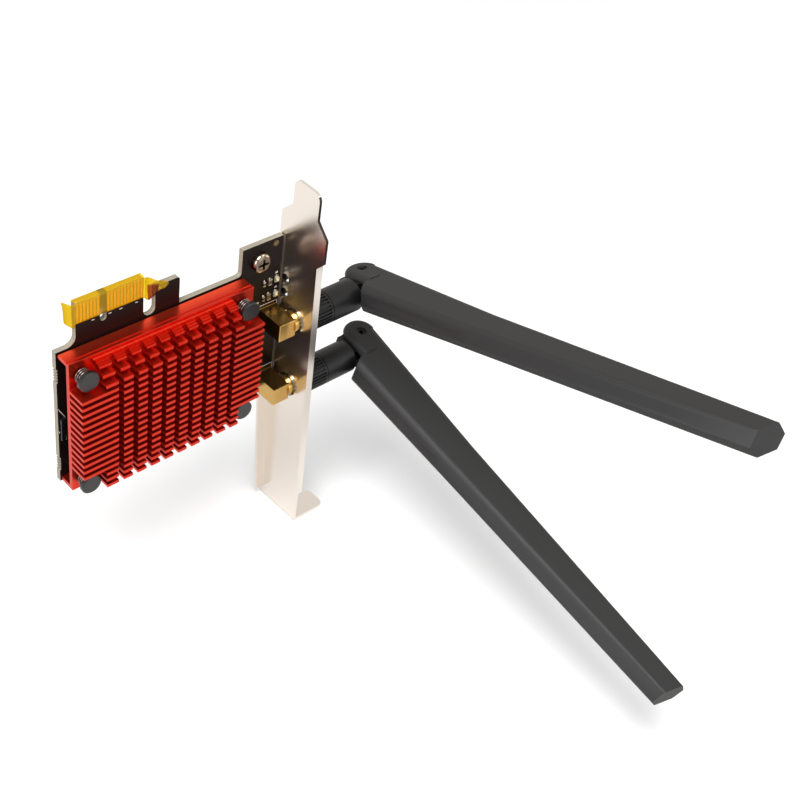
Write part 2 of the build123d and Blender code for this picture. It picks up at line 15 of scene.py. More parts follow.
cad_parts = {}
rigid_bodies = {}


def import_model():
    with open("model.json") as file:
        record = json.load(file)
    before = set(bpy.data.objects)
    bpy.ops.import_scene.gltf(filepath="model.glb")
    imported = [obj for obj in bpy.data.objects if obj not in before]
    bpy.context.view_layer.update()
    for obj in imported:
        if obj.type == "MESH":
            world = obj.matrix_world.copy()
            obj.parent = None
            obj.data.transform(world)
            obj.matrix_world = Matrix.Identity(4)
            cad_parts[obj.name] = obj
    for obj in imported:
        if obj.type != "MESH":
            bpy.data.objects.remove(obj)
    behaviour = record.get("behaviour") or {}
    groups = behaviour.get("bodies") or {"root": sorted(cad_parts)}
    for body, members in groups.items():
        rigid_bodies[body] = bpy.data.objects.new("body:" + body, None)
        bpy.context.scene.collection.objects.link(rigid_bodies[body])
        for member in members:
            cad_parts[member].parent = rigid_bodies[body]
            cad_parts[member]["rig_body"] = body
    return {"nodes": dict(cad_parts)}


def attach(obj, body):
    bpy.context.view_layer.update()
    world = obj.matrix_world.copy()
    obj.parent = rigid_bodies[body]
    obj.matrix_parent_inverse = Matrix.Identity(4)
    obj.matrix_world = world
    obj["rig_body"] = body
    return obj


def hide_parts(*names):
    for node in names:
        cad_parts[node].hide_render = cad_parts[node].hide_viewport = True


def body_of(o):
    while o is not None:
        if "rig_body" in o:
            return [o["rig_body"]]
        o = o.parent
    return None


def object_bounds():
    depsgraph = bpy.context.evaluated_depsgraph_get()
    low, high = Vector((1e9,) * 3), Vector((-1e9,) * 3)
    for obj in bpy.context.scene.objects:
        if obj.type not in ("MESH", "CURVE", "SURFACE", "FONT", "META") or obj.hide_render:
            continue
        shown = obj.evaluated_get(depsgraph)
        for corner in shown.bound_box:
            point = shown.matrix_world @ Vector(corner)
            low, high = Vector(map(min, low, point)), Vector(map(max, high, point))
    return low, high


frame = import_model()
cad_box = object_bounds()

# %% [markdown]
# ## The camera
# The photograph was taken from in front of the component side, high up and to the left, with the camera
# turned a little about its own axis. Three angles that were fitted to the photograph give its three
# axes: one points back from the card, one right and one up. They are the columns of its rotation matrix.

# %% Camera
MM = 0.001
azimuth = math.radians(-49.59)
elevation = math.radians(41.14)
roll = math.radians(10.13)
back = Vector(
    (
        math.sin(azimuth) * math.cos(elevation),
        -math.cos(azimuth) * math.cos(elevation),
        math.sin(elevation),
    )
)
level_right = Vector((math.cos(azimuth), math.sin(azimuth), 0))
level_up = back.cross(level_right)
right = level_right * math.cos(roll) + level_up * math.sin(roll)
up = level_up * math.cos(roll) - level_right * math.sin(roll)
camera_data = bpy.data.cameras.new("camera")
camera_data.lens = 62.17
camera_data.sensor_width = 36
camera_data.clip_start = 0.01
camera_data.clip_end = 20
camera_place = Vector((-211.46, -231.38, 320.14)) * MM
camera = bpy.data.objects.new("camera", camera_data)
bpy.context.scene.collection.objects.link(camera)
turn = Matrix((right, up, back)).transposed().to_4x4()
camera.matrix_world = Matrix.Translation(camera_place) @ turn
bpy.context.scene.camera = camera
print("camera at", [round(v, 3) for v in camera.location])

# %% [markdown]
# ## Light, floor and background
# A product photograph of this kind is lit by wide soft boxes, so that metal shows long clean gradients.
# Area lamps do that here. The floor and the world are white to the camera and nearly white in
# reflections, which gives the clean background without throwing any more light on the card. The floor's
# glow is weak near the card, where a stronger one would drown its shadow, and grows outwards, where the
# lamps fall off.

# %% Lamps
bpy.context.scene.view_settings.view_transform = "Standard"
lamp_target = Vector((-8, -45, 62)) * MM


def soft_box(name, place, size, watts):
    """A square area lamp at a place in millimetres, aimed at the middle of the card."""
    data = bpy.data.lights.new(name, "AREA")
    data.size = size
    data.energy = watts
    lamp = bpy.data.objects.new(name, data)
    lamp.location = Vector(place) * MM
    aim = lamp.location - lamp_target
    lamp.rotation_euler = aim.to_track_quat("Z", "Y").to_euler()
    bpy.context.scene.collection.objects.link(lamp)
    return lamp


soft_box("key_box", (-250, -150, 750), 0.45, 8.5)
soft_box("left_box", (-700, -250, 250), 0.4, 3.6)
soft_box("front_box", (250, -800, 350), 0.9, 3.4)

# %% Helpers for colours and nodes


def linear(code):
    """An sRGB hex colour as the linear RGBA that Blender works in."""
    parts = [int(code[i : i + 2], 16) / 255 for i in (1, 3, 5)]
    return tuple(c / 12.92 if c <= 0.04045 else ((c + 0.055) / 1.055) ** 2.4 for c in parts) + (1.0,)


def add(tree, kind, settings=None, **links):
    """Adds a node, sets its properties and sockets, and links sockets given by name, or by i and number."""
    made = tree.nodes.new(kind)
    for key, value in (settings or {}).items():
        if isinstance(key, int) or key in made.inputs:
            made.inputs[key].default_value = value
        else:
            setattr(made, key, value)
    for key, source in links.items():
        numbered = key[0] == "i" and key[1:].isdigit()
        target = made.inputs[int(key[1:]) if numbered else key.replace("_", " ")]
        tree.links.new(source, target)
    return made


def new_material(name):
    """An empty node material with its output, ready for a shader."""
    material = bpy.data.materials.new(name)
    material.use_nodes = True
    material.node_tree.nodes.clear()
    output = material.node_tree.nodes.new("ShaderNodeOutputMaterial")
    return material, material.node_tree, output


print("white in linear:", linear("#ffffff")[:3])

# %% Floor and world
world = bpy.data.worlds.new("studio")
world.use_nodes = True
sky = world.node_tree
sky.nodes.clear()
path = add(sky, "ShaderNodeLightPath")
soft = add(sky, "ShaderNodeBackground", {"Color": linear("#ffffff"), "Strength": 0.30})
tent = add(sky, "ShaderNodeBackground", {"Color": linear("#fffaf4"), "Strength": 0.92})
white = add(sky, "ShaderNodeBackground", {"Color": linear("#ffffff"), "Strength": 1.0})
camera_ray = path.outputs["Is Camera Ray"]
through_ray = path.outputs["Is Transmission Ray"]
seen = add(sky, "ShaderNodeMath", {"operation": "MAXIMUM"}, i0=camera_ray, i1=through_ray)
glossy_ray = path.outputs["Is Glossy Ray"]
mix = add(sky, "ShaderNodeMixShader", i0=glossy_ray, i1=soft.outputs[0], i2=tent.outputs[0])
mix = add(sky, "ShaderNodeMixShader", i0=seen.outputs[0], i1=mix.outputs[0], i2=white.outputs[0])
add(sky, "ShaderNodeOutputWorld", i0=mix.outputs[0])
bpy.context.scene.world = world

material, tree, output = new_material("studio_paper")
path = add(tree, "ShaderNodeLightPath")
paper = add(tree, "ShaderNodeBsdfDiffuse", {"Color": linear("#d8d8d8")})
evened = add(tree, "ShaderNodeBsdfDiffuse", {"Color": linear("#9f9f9f")})
spot = add(tree, "ShaderNodeTexCoord")
reach = add(tree, "ShaderNodeVectorMath", {"operation": "LENGTH"}, i0=spot.outputs["Object"])
near_m, far_m = 0.20, 0.60
near_glow, far_glow = 0.16, 0.50
levels = {"From Min": near_m, "From Max": far_m, "To Min": near_glow, "To Max": far_glow}
rise = add(tree, "ShaderNodeMapRange", levels, Value=reach.outputs["Value"])
glow = add(tree, "ShaderNodeEmission", {"Color": linear("#ffffff")}, Strength=rise.outputs[0])
sheen = add(tree, "ShaderNodeEmission", {"Color": linear("#fffaf6"), "Strength": 0.60})
bright = add(tree, "ShaderNodeAddShader", i0=paper.outputs[0], i1=glow.outputs[0])
mirrored = add(tree, "ShaderNodeAddShader", i0=evened.outputs[0], i1=sheen.outputs[0])
camera_ray = path.outputs["Is Camera Ray"]
through_ray = path.outputs["Is Transmission Ray"]
seen = add(tree, "ShaderNodeMath", {"operation": "MAXIMUM"}, i0=camera_ray, i1=through_ray)
glossy_ray = path.outputs["Is Glossy Ray"]
mix = add(tree, "ShaderNodeMixShader", i0=glossy_ray, i1=paper.outputs[0], i2=mirrored.outputs[0])
mix = add(tree, "ShaderNodeMixShader", i0=seen.outputs[0], i1=mix.outputs[0], i2=bright.outputs[0])
tree.links.new(mix.outputs[0], output.inputs["Surface"])
bm = bmesh.new()
bmesh.ops.create_grid(bm, x_segments=1, y_segments=1, size=3.0)
floor_mesh = bpy.data.meshes.new("floor")
bm.to_mesh(floor_mesh)
bm.free()
floor_clearance = 0.3 * MM
floor_mesh.transform(Matrix.Translation((0, 0, cad_box[0].z - floor_clearance)))
floor_mesh.materials.append(material)
floor = bpy.data.objects.new("floor", floor_mesh)
bpy.context.scene.collection.objects.link(floor)
print("floor height:", round(cad_box[0].z * 1000, 2), "mm")

# %% [markdown]
# ## Shared parts of the finishes
# Every finish starts from one Principled shader. Its colour is varied a little by noise, because no
# real surface is perfectly even, and its fine relief is a bump made by noise of a stated size. A noise
# texture of scale S repeats about every 1/S metres, so a grain of g millimetres needs a scale of 1000/g.

# %% Finish helper


def finish(name, colour, roughness, metallic, spread, patch_mm, grain_mm, relief_um, **sockets):
    """A finish with slightly uneven colour and a fine grain: its material, tree, shader and colour node."""
    material, tree, output = new_material(name)
    where = add(tree, "ShaderNodeTexCoord").outputs["Object"]
    patch = add(tree, "ShaderNodeTexNoise", {"Scale": 1000 / patch_mm, "Detail": 3.0}, Vector=where)
    dark = tuple(c * (1 - spread) for c in linear(colour)[:3]) + (1.0,)
    light = tuple(min(1, c * (1 + spread)) for c in linear(colour)[:3]) + (1.0,)
    tint = add(tree, "ShaderNodeMix", {"data_type": "RGBA"}, i0=patch.outputs["Fac"])
    tint.inputs[6].default_value = dark
    tint.inputs[7].default_value = light
    grain = add(tree, "ShaderNodeTexNoise", {"Scale": 1000 / grain_mm, "Detail": 2.0}, Vector=where)
    relief = {"Strength": 1.0, "Distance": relief_um * 1e-6}
    bump = add(tree, "ShaderNodeBump", relief, Height=grain.outputs["Fac"])
    settings = {"Roughness": roughness, "Metallic": metallic}
    settings.update({key.replace("_", " "): value for key, value in sockets.items()})
    inputs = {"Base_Color": tint.outputs[2], "Normal": bump.outputs[0]}
    shader = add(tree, "ShaderNodeBsdfPrincipled", settings, **inputs)
    tree.links.new(shader.outputs[0], output.inputs["Surface"])
    return material, tree, shader, tint


def dress(material, *names):
    """Gives CAD nodes their finish."""
    for name in names:
        mesh = frame["nodes"][name].data
        mesh.materials.clear()
        mesh.materials.append(material)
    print(material.name, "on", len(names), "piece(s)")


def wear_and_rear_highlight(piece, tree, shader, tint, colour, amount, rear_highlight_level):
    """Lightens a finish at sharp edges, where it is thinnest; paints a highlight of rear_highlight_level on
    the upper rear edge.
    """
    mesh = piece.data
    bm = bmesh.new()
    bm.from_mesh(mesh)
    edge = bm.verts.layers.float_color.new("edge")
    full_wear_angle = 0.5
    top = max(vert.co.z for vert in bm.verts)
    rear = max(vert.co.y for vert in bm.verts)
    rear_highlight_points = 0
    for vert in bm.verts:
        sharp = max((e.calc_face_angle(0.0) for e in vert.link_edges), default=0.0)
        level = min(1.0, sharp / full_wear_angle)
        # The upper rear edge gets a painted highlight in place of its wear level.
        if vert.co.z > top - 0.5 * MM and vert.co.y > rear - 0.7 * MM:
            level = rear_highlight_level
            rear_highlight_points += 1
        vert[edge] = (level, level, level, 1.0)
    bm.to_mesh(mesh)
    bm.free()
    # Counts the points under the painted highlight along the upper rear edge.
    print("points on the worn rear edge:", rear_highlight_points)
    # The attribute carries the edge wear and the painted highlight of the upper rear edge.
    worn = add(tree, "ShaderNodeAttribute", {"attribute_name": "edge"})
    share = add(tree, "ShaderNodeMath", {"operation": "MULTIPLY", 1: amount}, i0=worn.outputs["Fac"])
    bright_end = {"data_type": "RGBA", 7: linear(colour)}
    pale = add(tree, "ShaderNodeMix", bright_end, i0=share.outputs[0], i6=tint.outputs[2])
    tree.links.new(pale.outputs[2], shader.inputs["Base Color"])


# %% [markdown]
# ## Ways to make a piece
# A piece that Blender adds is drawn as one mesh with its place in its points, so its object stays at the
# origin. It then rides on a body of the card, which makes it move with the right solids in every pose.

# %% Piece helpers


def new_piece(name, bm, material, body):
    """Turns a bmesh in metres into a piece that rides on a body."""
    bmesh.ops.recalc_face_normals(bm, faces=bm.faces)
    mesh = bpy.data.meshes.new(name)
    bm.to_mesh(mesh)
    bm.free()
    mesh.materials.append(material)
    piece = bpy.data.objects.new(name, mesh)
    bpy.context.scene.collection.objects.link(piece)
    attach(piece, body)
    print(name, "has", len(mesh.polygons), "faces")
    return piece


def add_box(bm, low, high):
    """Adds a closed box between two corners given in millimetres."""
    size = [(b - a) * MM for a, b in zip(low, high)]
    centre = [(a + b) / 2 * MM for a, b in zip(low, high)]
    place = Matrix.Translation(centre) @ Matrix.Diagonal((*size, 1))
    return bmesh.ops.create_cube(bm, size=1.0, matrix=place)["verts"]


def rounded_copy(node, radius_mm, angle_deg, segments):
    """A copy of a CAD node with its loose triangles merged and its edges rounded, standing for the node."""
    bm = bmesh.new()
    bm.from_mesh(frame["nodes"][node].data)
    bmesh.ops.remove_doubles(bm, verts=bm.verts, dist=0.001 * MM)
    bmesh.ops.dissolve_limit(bm, angle_limit=math.radians(0.5), verts=bm.verts, edges=bm.edges)
    mesh = bpy.data.meshes.new(node + "_rounded")
    bm.to_mesh(mesh)
    bm.free()
    piece = bpy.data.objects.new(mesh.name, mesh)
    bpy.context.scene.collection.objects.link(piece)
    bevel = piece.modifiers.new("edge_rounding", "BEVEL")
    bevel.width = radius_mm * MM
    bevel.segments = segments
    bevel.limit_method = "ANGLE"
    bevel.angle_limit = math.radians(angle_deg)
    bevel.harden_normals = False
    made = bpy.data.meshes.new_from_object(piece.evaluated_get(bpy.context.evaluated_depsgraph_get()))
    piece.modifiers.clear()
    piece.data = made
    made.name = mesh.name
    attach(piece, body_of(frame["nodes"][node])[0])
    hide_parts(node)
    print(piece.name, "has", len(made.polygons), "faces")
    return piece


# %% [markdown]
# ## Red anodised aluminium
# The heatsink is extruded aluminium that was cut across, bead blasted and dyed in the anodising bath. The
# oxide film is clear and coloured, so the metal still shines through it: a metallic shader in red, rough
# enough to spread the light. Blasting rounds every edge a little, and those edges catch the light. The
# colour is paler at sharp edges, where the film is thinnest, and a highlight is painted into the colour
# along the upper rear edge. The node's mesh is loose triangles, so it is merged and flattened first, and
# only then bevelled.

# %% Heatsink finish
anodised, tree, shader, tint = finish("anodised_aluminium_red", "#b3110e", 0.31, 0.955, 0.10, 9, 0.18, 6)
sink = rounded_copy("heatsink", 0.11, 40, 2)
# Sharp edges are paler where the film is thin, and the upper rear edge carries a painted highlight.
wear_and_rear_highlight(sink, tree, shader, tint, "#ff5a34", 0.30, 2.6)
sink.data.materials.clear()
sink.data.materials.append(anodised)

# %% [markdown]
# ## Nickel plated sheet steel
# The bracket is stamped from sheet, folded, then plated. Plating on rolled sheet is bright but not a
# perfect mirror, so what it reflects comes back soft: a full metal with a low roughness. The punch
# leaves a torn, darker edge, so the walls of the light holes and the tab's sides get a second finish,
# while the tab's upper end stays bright. These are faces that lie across the sheet.

# %% Bracket, screw and springs
plated = finish("nickel_plated_steel", "#e4ddd5", 0.25, 1.0, 0.03, 20, 0.25, 0.8)[0]
dress(plated, "bracket")
sheared = finish("sheared_steel_edge", "#3b3431", 0.42, 1.0, 0.15, 2, 0.2, 4)[0]
light_hole_y = -1.9
light_hole_heights = (81.8, 86.7)
light_hole_radius = 1.5
tab_sides = (93, 119)
sheet = 0.86
bracket_mesh = frame["nodes"]["bracket"].data
bracket_mesh.materials.append(sheared)
cut = 0
for polygon in bracket_mesh.polygons:
    corners = [bracket_mesh.vertices[i].co / MM for i in polygon.vertices]
    within = all(-0.02 < corner.x < sheet + 0.04 for corner in corners)
    lowest = min(corner.z for corner in corners)
    middle = polygon.center / MM
    off_hole = min(math.hypot(middle.y - light_hole_y, middle.z - z) for z in light_hole_heights)
    placed = off_hole < light_hole_radius + 0.1 or tab_sides[0] < lowest < tab_sides[1]
    if abs(polygon.normal.x) < 0.3 and within and placed:
        polygon.material_index = 1
        cut += 1
print("sheared edge faces:", cut)
screw_steel = finish("nickel_plated_screw", "#7d7165", 0.16, 1.0, 0.05, 1.5, 0.15, 2)[0]
dress(screw_steel, "bracket_screw")
wire = finish("spring_steel_wire", "#6f6a66", 0.16, 1.0, 0.05, 1.0, 0.1, 1)[0]
dress(wire, *[f"pin_spring_{i}" for i in range(1, 5)])
tinned = finish("tin_plate", "#c8c6c0", 0.3, 1.0, 0.06, 3.0, 0.2, 2)[0]
dress(tinned, "module_shield", "service_contacts")
oxide = finish("blackened_steel_pin", "#2b2a2a", 0.35, 1.0, 0.08, 1.0, 0.1, 2)[0]
dress(oxide, "hinge_pin_upper", "hinge_pin_lower")

# %% [markdown]
# ## Gold plated brass
# The jacks are turned and milled brass with a thin gold flash. The tools leave faint marks, so a fine
# grain spreads their highlights a little. Their toothed washers are bright nickel plated steel, and the
# contacts on the board's tongue are paler, gold plated copper.

# %% Gold finishes
gold_brass = finish("gold_plated_brass", "#c29e5a", 0.22, 1.0, 0.08, 2.5, 0.25, 3)[0]
dress(gold_brass, "jack_nut_upper", "jack_nut_lower")
bright_nickel = finish("nickel_plated_washer", "#8f8775", 0.15, 1.0, 0.04, 1.0, 0.15, 2)[0]
dress(bright_nickel, "jack_washer_upper", "jack_washer_lower")
dress(gold_brass, "coupling_upper", "coupling_lower")
for side in ("upper", "lower"):
    block = rounded_copy("jack_body_" + side, 0.12, 40, 2)
    block.data.materials.clear()
    block.data.materials.append(gold_brass)
gold_flash = finish("gold_plated_copper", "#e6b653", 0.26, 1.0, 0.04, 2.0, 0.2, 1)[0]
dress(gold_flash, "edge_contacts")

# %% [markdown]
# ## Solder mask over glass fibre board
# The board is glass fibre and resin, grey-beige where it was cut. Its two faces carry copper under a dark
# lacquer, but the strip between the edge contacts is left bare so that nothing is worn off in the slot.
# The normal tells faces from edges: on the faces it points along Y.

# %% Board finish
board_mask, tree, shader, tint = finish(
    "solder_mask_on_glass_fibre", "#120b0a", 0.34, 0.0, 0.18, 5, 0.4, 3, Specular_IOR_Level=0.09
)
bare_from_z = 98.55
bare_to_x = -45.5
where = add(tree, "ShaderNodeTexCoord")
facing = add(tree, "ShaderNodeSeparateXYZ", i0=where.outputs["Normal"])
size = add(tree, "ShaderNodeMath", {"operation": "ABSOLUTE"}, i0=facing.outputs["Y"])
face = add(tree, "ShaderNodeMath", {"operation": "GREATER_THAN", 1: 0.5}, i0=size.outputs[0])
place = add(tree, "ShaderNodeSeparateXYZ", i0=where.outputs["Object"])
below = add(tree, "ShaderNodeMath", {"operation": "LESS_THAN", 1: bare_from_z * MM}, i0=place.outputs["Z"])
beyond = add(tree, "ShaderNodeMath", {"operation": "GREATER_THAN", 1: bare_to_x * MM}, i0=place.outputs["X"])
lacquer = add(tree, "ShaderNodeMath", {"operation": "MAXIMUM"}, i0=below.outputs[0], i1=beyond.outputs[0])
covered = add(tree, "ShaderNodeMath", {"operation": "MULTIPLY"}, i0=face.outputs[0], i1=lacquer.outputs[0])
weave = add(tree, "ShaderNodeTexNoise", {"Scale": 1000 / 0.8, "Detail": 3.0}, Vector=where.outputs["Object"])
cut_glass = {"data_type": "RGBA", 6: linear("#7a7468"), 7: linear("#918a7c")}
bare = add(tree, "ShaderNodeMix", cut_glass, i0=weave.outputs["Fac"])
bare_face = {"data_type": "RGBA", 7: linear("#4f3d26")}
between = add(tree, "ShaderNodeMix", bare_face, i0=face.outputs[0], i6=bare.outputs[2])
coloured = {"data_type": "RGBA"}
board = add(tree, "ShaderNodeMix", coloured, i0=covered.outputs[0], i6=between.outputs[2], i7=tint.outputs[2])
tree.links.new(board.outputs[2], shader.inputs["Base Color"])
dress(board_mask, "circuit_board")

# %% [markdown]
# ## Black plastics
# The antennas are moulded in black ABS with a spark-eroded texture: a fine even grain of about a third of
# a millimetre that turns highlights into a soft sheen. Collars and swivel bases are a darker, smoother
# nylon, and the push pins are glossier still. Moulded plastic never has a knife edge, so the blades get
# small rounded edges.

# %% Black plastic finishes
black_abs = finish("moulded_abs_black", "#101011", 0.6, 0.0, 0.12, 12, 0.32, 16, Specular_IOR_Level=0.44)[0]
black_joint = finish(
    "moulded_nylon_joint_black", "#0b0b0c", 0.44, 0.0, 0.12, 6, 0.3, 12, Specular_IOR_Level=0.32
)[0]
for side in ("upper", "lower"):
    dress(black_joint, "collar_" + side, "swivel_base_" + side)
    for half in ("front", "rear"):
        blade = rounded_copy("blade_" + half + "_" + side, 0.18, 30, 2)
        blade.data.materials.clear()
        blade.data.materials.append(black_abs)
black_nylon = finish("moulded_nylon_black", "#0d0b0c", 0.26, 0.0, 0.08, 4, 0.3, 4)[0]
dress(black_nylon, "service_connector", *[f"push_pin_{i}" for i in range(1, 5)])

# %% [markdown]
# ## Hidden and tiny pieces
# The thermal pad, the insulators and the antenna strips are seen only through gaps, and the chips are
# under two millimetres long, but each has its own real material.

# %% Small finishes
pad = finish("silicone_pad_grey", "#8c98a6", 0.7, 0.0, 0.06, 4, 0.5, 10)[0]
dress(pad, "thermal_pad")
insulator = finish("fluoropolymer_white", "#ecebe6", 0.4, 0.0, 0.03, 2, 0.3, 2)[0]
dress(insulator, "jack_insert_upper", "jack_insert_lower")
strip = finish("glass_fibre_strip_green", "#2c6b3a", 0.45, 0.0, 0.08, 5, 0.4, 4)[0]
dress(strip, "antenna_strip_upper", "antenna_strip_lower")
resistor = finish("resistor_ceramic_black", "#151314", 0.35, 0.0, 0.1, 0.5, 0.1, 2)[0]
dress(resistor, "chip_resistors")
capacitor = finish("capacitor_ceramic_brown", "#4b3c31", 0.4, 0.0, 0.1, 0.5, 0.1, 2)[0]
dress(capacitor, "chip_capacitors")
led = finish("led_resin_clear", "#a8a08c", 0.3, 0.0, 0.25, 0.5, 0.2, 3)[0]
dress(led, "status_leds")

# %% [markdown]
# ## Amber film over the contacts
# A strip of polyimide film is folded over the tongue to keep dust off the contacts until the card is
# fitted. It is see-through amber, so it darkens to orange where it lies double. It can be made as a cloth
# or as a swept line, but here a grid of points is simplest: each column of the grid has its own top and
# bottom, the free ends curl off the board, and the whole grid is then given the thickness of the film.
# Its tint depends on where it lies: deeper on the free ends, greyer over the notch, and brown on the
# right, where it has folded on itself.

# %% Film finish
# Zones of the film in millimetres: where the tongue holds it, its notch, and the fold on the right.
held_from, held_to = -67.0, -46.3
notch_x, notch_half = -58.6, 0.97
fold_x, fold_half = -43.7, 1.5
fold_top, fold_full = 101.8, 101.2

film, tree, output = new_material("polyimide_film_amber")
where = add(tree, "ShaderNodeTexCoord").outputs["Object"]
creases = add(tree, "ShaderNodeTexNoise", {"Scale": 1000 / 1.6, "Detail": 3.0}, Vector=where)
bump = add(tree, "ShaderNodeBump", {"Strength": 1.0, "Distance": 40e-6}, Height=creases.outputs["Fac"])
place = add(tree, "ShaderNodeSeparateXYZ", i0=where)
along = place.outputs["X"]
free_left = add(tree, "ShaderNodeMath", {"operation": "LESS_THAN", 1: held_from * MM}, i0=along)
free_right = add(tree, "ShaderNodeMath", {"operation": "GREATER_THAN", 1: held_to * MM}, i0=along)
free = add(tree, "ShaderNodeMath", {"operation": "ADD"}, i0=free_left.outputs[0], i1=free_right.outputs[0])
notch_zone = {"operation": "COMPARE", 1: notch_x * MM, 2: notch_half * MM}
over_notch = add(tree, "ShaderNodeMath", notch_zone, i0=along)
fold_zone = {"operation": "COMPARE", 1: fold_x * MM, 2: fold_half * MM}
across = add(tree, "ShaderNodeMath", fold_zone, i0=along)
under = add(tree, "ShaderNodeMapRange", {1: fold_top * MM, 2: fold_full * MM}, i0=place.outputs["Z"])
twice = add(tree, "ShaderNodeMath", {"operation": "MULTIPLY"}, i0=across.outputs[0], i1=under.outputs[0])
amber = {"data_type": "RGBA", 6: linear("#faec78"), 7: linear("#fff49a")}
seen_through = add(tree, "ShaderNodeMix", amber, i0=creases.outputs["Fac"])
for zone, colour in ((free, "#e3d249"), (over_notch, "#ae9a80"), (twice, "#c47c30")):
    tinted = {"data_type": "RGBA", 7: linear(colour)}
    seen_through = add(tree, "ShaderNodeMix", tinted, i0=zone.outputs[0], i6=seen_through.outputs[2])
through = add(tree, "ShaderNodeBsdfTransparent", i0=seen_through.outputs[2])
bulk_colours = {"data_type": "RGBA", 6: linear("#e8bf24"), 7: linear("#9a5416")}
bulk = add(tree, "ShaderNodeMix", bulk_colours, i0=twice.outputs[0])
inputs = {"Base_Color": bulk.outputs[2], "Normal": bump.outputs[0]}
body = add(tree, "ShaderNodeBsdfPrincipled", {"Roughness": 0.14}, **inputs)
mix = add(tree, "ShaderNodeMixShader", {0: 0.22}, i1=through.outputs[0], i2=body.outputs[0])
tree.links.new(mix.outputs[0], output.inputs["Surface"])
print(film.name, "is held from", held_from, "to", held_to, "mm")

# %% Film over the tongue
# Columns of the front sheet in millimetres: X, bottom Z, top Z, how far the bottom and top stand off.
columns = [
    (-70.55, 104.6, 106.8, -0.75, 0.10),
    (-70.2, 101.6, 106.5, -0.20, 0.35),
    (-69.9, 100.2, 106.3, 0.25, 0.75),
    (-69.3, 99.2, 105.9, 0.75, 0.55),
    (-68.6, 98.5, 105.5, 0.55, 0.05),
    (-68.0, 98.0, 105.1, -0.05, -0.20),
    (-67.3, 97.5, 104.8, -0.18, -0.10),
]
columns += [(-66.8 + 1.02 * i, 98.55, 105.12, -0.10, -0.10) for i in range(20)]
columns += [
    (-46.4, 98.3, 104.75, -0.10, -0.10),
    (-45.7, 97.4, 104.3, -0.12, 0.25),
    (-44.9, 97.0, 103.9, -0.15, 0.60),
    (-44.0, 97.2, 103.4, -0.14, 0.20),
    (-43.2, 97.8, 103.0, -0.12, -0.50),
    (-42.5, 98.6, 102.65, -0.20, -0.90),
    (-41.6, 99.2, 102.2, -0.45, -0.60),
    (-40.6, 99.4, 101.7, -0.75, -0.35),
    (-39.8, 99.5, 101.2, -0.60, -0.60),
    (-39.2, 99.9, 100.8, -0.40, -0.85),
]
rows = 8
film_thickness = 0.05
bm = bmesh.new()
grid = []
for x, low, high, off_low, off_high in columns:
    line = []
    for k in range(rows + 1):
        t = k / rows
        loose = x < held_from - 0.2 or x > held_to
        wave = 0.16 * math.sin(3.1 * x + 5.0 * t) if loose else 0.012 * math.sin(2.3 * x)
        y = off_low + (off_high - off_low) * t + wave * math.sin(math.pi * min(1.0, t + 0.2))
        line.append(bm.verts.new((x * MM, y * MM, (low + (high - low) * t) * MM)))
    grid.append(line)
for a, b in zip(grid, grid[1:]):
    for k in range(rows):
        bm.faces.new((a[k], b[k], b[k + 1], a[k + 1]))
# The back of the film: over the tongue's end and down its plain side.
wrap = [(0.3, 105.14), (1.3, 105.14), (1.70, 105.0), (1.72, 103.0), (1.72, 101.0), (1.72, 98.9)]
held = [i for i, column in enumerate(columns) if held_from < column[0] < held_to]
tails = []
for i in held:
    line = [grid[i][rows]]
    line += [bm.verts.new((columns[i][0] * MM, y * MM, z * MM)) for y, z in wrap]
    tails.append(line)
for a, b in zip(tails, tails[1:]):
    for k in range(len(wrap)):
        bm.faces.new((a[k], b[k], b[k + 1], a[k + 1]))
bmesh.ops.recalc_face_normals(bm, faces=bm.faces)
bmesh.ops.solidify(bm, geom=bm.faces[:], thickness=film_thickness * MM)
for polygon in bm.faces:
    polygon.smooth = True
tape = new_piece("contact_film", bm, film, "card")
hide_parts("edge_tape")

# %% [markdown]
# ## Printed lines and marks
# White ink is screen printed on the lacquer: outlines round parts and small marks beside them. Each mark
# is a very thin box whose foot is sunk a little into the board, so it casts no visible shadow.

# %% Print
ink = finish("screen_print_white", "#c9c4bb", 0.55, 0.0, 0.10, 0.8, 0.2, 4)[0]
marks = [
    (-7.1, 78.15, -0.6, 78.35),
    (-0.8, 76.2, -0.6, 78.35),
    (-4.4, 54.5, -0.3, 54.7),
    (-0.5, 52.6, -0.3, 54.7),
    (-2.1, 87.9, -1.75, 88.5),
    (-1.65, 87.95, -1.3, 88.55),
    (-2.0, 82.75, -1.65, 83.35),
    (-1.55, 82.8, -1.2, 83.4),
    (-8.2, 79.5, -7.85, 80.1),
    (-7.75, 79.55, -7.4, 80.15),
    (-62.0, 97.6, -61.2, 97.8),
    (-57.0, 97.6, -56.2, 97.8),
    (-53.8, 97.6, -52.9, 97.8),
    (-49.0, 97.6, -48.2, 97.8),
]
outline = [
    (-72.6, 73.1, -70.6, 69.4),
    (-72.6, 65.1, -70.5, 61.2),
    (-70.6, 69.4, -70.5, 61.2),
]
ink_top = -0.025
ink_foot = 0.01
line_half = 0.09
bm = bmesh.new()
for x0, z0, x1, z1 in marks:
    add_box(bm, (x0, ink_top, z0), (x1, ink_foot, z1))
for x0, z0, x1, z1 in outline:
    length = math.hypot(x1 - x0, z1 - z0)
    verts = add_box(bm, (0, ink_top, -line_half), (length, ink_foot, line_half))
    tilt = Matrix.Rotation(-math.atan2(z1 - z0, x1 - x0), 4, "Y")
    bmesh.ops.transform(bm, matrix=Matrix.Translation((x0 * MM, 0, z0 * MM)) @ tilt, verts=verts)
new_piece("screen_print", bm, ink, "card")
print("printed marks:", len(marks) + len(outline))

# %% [markdown]
# ## Solder and chip ends
# Each chip has a tinned cap at both ends, and solder stands at each pin of the jacks. The solder beads are
# one small form at many places, so Geometry Nodes puts a flattened ball on every point of a point cloud.

